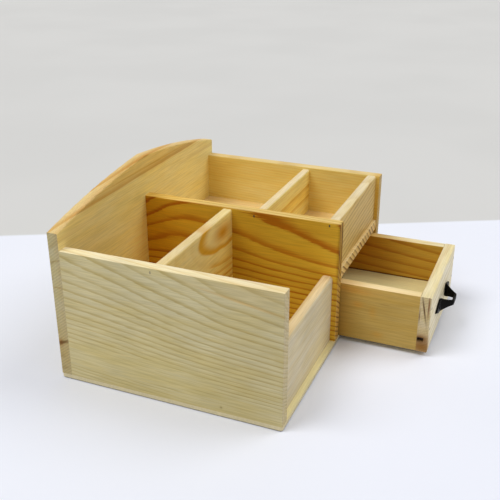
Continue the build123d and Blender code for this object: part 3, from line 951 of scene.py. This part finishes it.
@dataclass
class BowPull:
    """The black bow pull: one strap bent out from two leaf-shaped feet to a narrow grip, and its pins.

    Attributes:
        tip: half its length.
        root: half the distance between the roots of its feet.
        grip: half its straight grip.
        reach: how far the grip's front stands off the drawer front.
        gauge: the strap's thickness.
        tip_gauge: what is left of the thickness at a tip.
        root_half: half its height at a root.
        grip_half: half its height at the grip.
        tip_half: half its height at the blunt end of a tip.
        leaf_swell: how far a leaf's edge bulges.
        waist_hollow: how far the edge dips between root and grip.
        bends: radii of the bends at root and grip, in the middle of the strap.
        round: radius of the strap's edges.
        crown: how much higher its front is in the middle than at the edges.
        soften: how far the corners of its outline are rubbed down.
        black: its paint.
    """

    tip: float = 31.3 * MM
    root: float = 14.2 * MM
    grip: float = 5.9 * MM
    reach: float = 11.4 * MM
    gauge: float = 1.8 * MM
    tip_gauge: float = 1.1 * MM
    root_half: float = 6.0 * MM
    grip_half: float = 2.3 * MM
    tip_half: float = 0.4 * MM
    leaf_swell: float = 0.8 * MM
    waist_hollow: float = 0.7 * MM
    bends: tuple[float, float] = (2.6 * MM, 2.2 * MM)
    round: float = 0.5 * MM
    crown: float = 0.2 * MM
    soften: float = 0.35 * MM
    black: Metal = Metal(
        colour=(0.0035, 0.003, 0.0025), roughness=(0.34, 0.48), grain=900.0, sheen=0.055
    )

    STEPS = 120
    ARC_STEPS = 5

    def build(self) -> None:
        """Makes the strap on the drawer front and finishes it and the pins."""
        low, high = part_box("drawer_handle")
        points = self._surface() + np.array([(low.x + high.x) / 2, high.y, (low.z + high.z) / 2])
        strap = closed_tube("bow_pull", points)
        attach(strap, "drawer")
        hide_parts("drawer_handle")
        wear(strap, self.black.material("black_pull"))
        wear(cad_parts["handle_pins"], self.black.material("black_pins"))

    def _half_plan(self) -> tuple[np.ndarray, np.ndarray, np.ndarray]:
        """Middle of the strap in plan, from a tip to the middle of the grip.

        The heading is the angle to the drawer front. It is nil along the foot, climbs evenly to the
        leg's slope round the first bend, and falls back to nil round the second. Running sums of its
        cosine and sine over equal steps give the place.

        Returns:
            Distance across from the pull's middle, distance out from the drawer front, and heading.
        """
        run, rise = self.root - self.grip, self.reach - self.gauge
        slope = math.atan2(rise, run)
        turn = math.tan(slope / 2)
        outset = self.gauge / 2 * turn
        spare = [radius * (2 * turn - slope) for radius in self.bends]
        tangents = [radius * turn for radius in self.bends]
        foot, leg = self.tip - self.root - outset, math.hypot(run, rise)
        first = foot - tangents[0]
        second = foot + leg - spare[0] - tangents[1]
        step = (foot + leg + self.grip + outset - sum(spare)) / self.STEPS

        def heading(s: np.ndarray) -> np.ndarray:
            """Slope times the share of the first bend that lies behind, less that of the second."""
            shares = [np.clip((s - a) / (r * slope), 0, 1) for a, r in zip((first, second), self.bends)]
            return slope * (shares[0] - shares[1])

        angle = heading((np.arange(self.STEPS) + 0.5) * step)
        across = self.tip - np.concatenate([[0.0], np.cumsum(np.cos(angle))]) * step
        out = self.gauge / 2 + np.concatenate([[0.0], np.cumsum(np.sin(angle))]) * step
        return across, out, heading(np.arange(self.STEPS + 1) * step)

    def _half_height(self, across: np.ndarray) -> np.ndarray:
        """Half the strap's height at each place across.

        The leaf's edge is a straight line from the tip to the root with a parabola added, and the
        waist's edge another from the root to the grip with one taken away. Their soft minimum, the
        logarithm of the sum of their falling exponentials, rubs the corners down.

        Args:
            across: distances from the pull's middle.

        Returns:
            Half heights.
        """
        distance = np.abs(across)
        leaf = (self.tip - distance) / (self.tip - self.root)
        leaf_edge = self.root_half * leaf + 4 * self.leaf_swell * np.clip(leaf * (1 - leaf), 0, None)
        run = self.root - self.grip
        waist = self.soften / run * np.logaddexp(0, (distance - self.grip) / self.soften)
        waist_edge = self.grip_half + (self.root_half - self.grip_half) * waist
        waist_edge -= 4 * self.waist_hollow * waist * (1 - waist)
        height = -self.soften * np.logaddexp(-leaf_edge / self.soften, -waist_edge / self.soften)
        return np.clip(height, self.tip_half, None)

    def _surface(self) -> np.ndarray:
        """Points of the strap, section after section from the right tip to the left.

        A section is a rectangle with round corners: the centre of a corner plus its radius times the
        cosine and sine of an angle that goes once round. Its front is crowned by a parabola.

        Returns:
            Array of sections by points by coordinates, with the pull's middle at the origin.
        """
        across, out, heading = self._half_plan()
        across = np.concatenate([across, -across[-2::-1]])
        out = np.concatenate([out, out[-2::-1]])
        heading = np.concatenate([heading, -heading[-2::-1]])
        half = self._half_height(across)[:, None]
        leaf = np.clip((self.tip - np.abs(across)) / (self.tip - self.root) / 0.4, 0, 1)
        front = (self.tip_gauge + (self.gauge - self.tip_gauge) * np.sin(leaf * np.pi / 2))[:, None]

        quarter = np.linspace(0, np.pi / 2, self.ARC_STEPS)
        angles = np.concatenate([quarter + turn * np.pi / 2 for turn in range(4)])
        corner = np.repeat([[1, 1], [-1, 1], [-1, -1], [1, -1]], self.ARC_STEPS, axis=0)
        radius = np.minimum(self.round, np.minimum(half, front / 2) * 0.98)
        up = corner[:, 0] * (half - radius) + radius * np.cos(angles)
        thick = front / 2 + corner[:, 1] * (front / 2 - radius) + radius * np.sin(angles)
        thick += self.crown * (corner[:, 1] > 0) * (1 - (up / half) ** 2)
        thick -= self.gauge / 2

        x = across[:, None] + np.sin(heading)[:, None] * thick
        y = -(out[:, None] + np.cos(heading)[:, None] * thick)
        return np.stack([x, y, up], axis=-1)


# ---- studio


@dataclass(frozen=True)
class SoftLight:
    """A wide soft lamp, far away.

    Attributes:
        turn: degrees round the object from the camera's side, towards the right of the view.
        height: degrees over the floor.
        level: light that it gives to a surface that faces it, where 1 shows a colour as written.
        spread: its breadth, in degrees.
    """

    turn: float
    height: float
    level: float
    spread: float


@dataclass
class Studio:
    """Pale floor, soft lights and the camera.

    Attributes:
        floor_half: half the floor's side.
        near_floor: colour of the floor round the object.
        far_floor: colour of the paper behind it.
        seam: two points of the line where the floor's colour changes; the far side is on its left.
        seam_soft: half the width of that change.
        camera_at: the camera's place.
        camera_aim: a point that it looks at.
        lens: focal length in millimetres, on a sensor 36 mm wide.
        ambient: light from all round.
        lights: the lamps.
    """

    floor_half: float = 8.0
    near_floor: Colour = (0.84, 0.86, 0.94)
    far_floor: Colour = (0.66, 0.655, 0.64)
    seam: tuple[Vector, Vector] = (Vector((0.0769, 0.3151, 0.0)), Vector((0.3339, -0.1851, 0.0)))
    seam_soft: float = 0.003
    camera_at: Vector = Vector((-0.5400, -0.2362, 0.3338))
    camera_aim: Vector = Vector((-0.0343, -0.0269, 0.0879))
    lens: float = 55.89
    ambient: float = 0.36
    lights: tuple[SoftLight, ...] = (
        SoftLight(turn=-70, height=58, level=0.40, spread=30),
        SoftLight(turn=105, height=50, level=0.26, spread=35),
        SoftLight(turn=0, height=86, level=0.14, spread=60),
    )

    def build(self) -> None:
        """Makes the floor, the lights, the world and the camera."""
        self._camera()
        self._floor()
        self._world()
        for number, light in enumerate(self.lights):
            self._lamp(f"soft_light_{number + 1}", light)

    @property
    def level_view(self) -> Vector:
        """Unit vector from the camera to its aim, laid level."""
        view = self.camera_aim - self.camera_at
        return Vector((view.x, view.y, 0.0)).normalized()

    def _camera(self) -> None:
        """Level camera on the line from its place to its aim."""
        data = bpy.data.cameras.new("camera")
        data.lens, data.sensor_width = self.lens, 36.0
        data.clip_start, data.clip_end = 0.01, 50.0
        camera = bpy.data.objects.new("camera", data)
        camera.location = self.camera_at
        camera.rotation_euler = (self.camera_aim - self.camera_at).to_track_quat("-Z", "Y").to_euler()
        bpy.context.scene.collection.objects.link(camera)
        bpy.context.scene.camera = camera

    def _floor(self) -> None:
        """One flat square of pale paper. Past the seam behind the object it is a darker sheet."""
        half = self.floor_half
        mesh = bpy.data.meshes.new("floor")
        corners = [(-half, -half, 0), (half, -half, 0), (half, half, 0), (-half, half, 0)]
        mesh.from_pydata(corners, [], [(0, 1, 2, 3)])
        floor = bpy.data.objects.new("floor", mesh)
        bpy.context.scene.collection.objects.link(floor)

        graph = Graph(bpy.data.materials.new("floor"))
        start, end = self.seam
        across = along(Way.Z).cross((end - start).normalized())
        past = graph.vector("DOT_PRODUCT", graph.vector("SUBTRACT", graph.place, start), across)
        far = graph.ease(past, -self.seam_soft, self.seam_soft)
        cloud = graph.ease(graph.noise(graph.place, 3.0, 2.0), 0.35, 0.65, 0.985, 1.015)
        colour = graph.mix(far, self.near_floor, self.far_floor)
        graph.fill({"Base Color": graph.brighten(colour, cloud)})
        graph.fill({"Roughness": 0.9, "Specular IOR Level": 0.1})
        wear(floor, graph.owner)

    def _world(self) -> None:
        """Even light from all round; the camera and reflections see the far paper's colour."""
        graph = Graph(bpy.data.worlds.new("studio"))
        bpy.context.scene.world = graph.owner
        graph.fill({"Color": (0.98, 0.99, 1.0), "Strength": self.ambient})
        seen = graph.add_node("Background", {}, {"Color": self.far_floor}, 0)
        path = graph.tree.nodes.new("ShaderNodeLightPath").outputs
        rays = graph.math("MAXIMUM", path["Is Camera Ray"], path["Is Glossy Ray"])
        rays = graph.math("MAXIMUM", rays, path["Is Transmission Ray"])
        inputs = {"Fac": rays, 1: graph.shader.outputs[0], 2: seen}
        blend = graph.add_node("MixShader", {}, inputs, 0)
        graph.feed(graph.tree.nodes["World Output"].inputs["Surface"], blend)

    def _lamp(self, name: str, light: SoftLight) -> None:
        """Hangs one soft lamp, which shines on the object from far away.

        Args:
            name: the lamp's name.
            light: where it hangs and how strong it is.
        """
        turn, height = math.radians(light.turn), math.radians(light.height)
        right = self.level_view.cross(along(Way.Z))
        level = right * math.sin(turn) - self.level_view * math.cos(turn)
        place = level * math.cos(height) + along(Way.Z, math.sin(height))
        data = bpy.data.lights.new(name, "SUN")
        data.angle, data.energy = math.radians(light.spread), light.level * math.pi
        lamp = bpy.data.objects.new(name, data)
        lamp.location = place * 2
        lamp.rotation_euler = (-place).to_track_quat("-Z", "Y").to_euler()
        bpy.context.scene.collection.objects.link(lamp)


def main() -> None:
    """Builds the studio, then dresses each sub-assembly in turn."""
    logging.basicConfig(level=logging.INFO, format="%(message)s")
    bpy.context.scene.view_settings.view_transform = "Standard"
    Studio().build()
    LOG.info("studio ready")
    browned = Metal(colour=(0.09, 0.07, 0.05), roughness=(0.5, 0.7), metallic=0.5)
    steel = browned.material("browned_steel")
    for assembly in (Carcass(), Drawer()):
        assembly.dress(steel)
    BowPull().build()
    LOG.info("bow_pull built, handle_pins dressed")


if __name__ == "__main__":
    main()
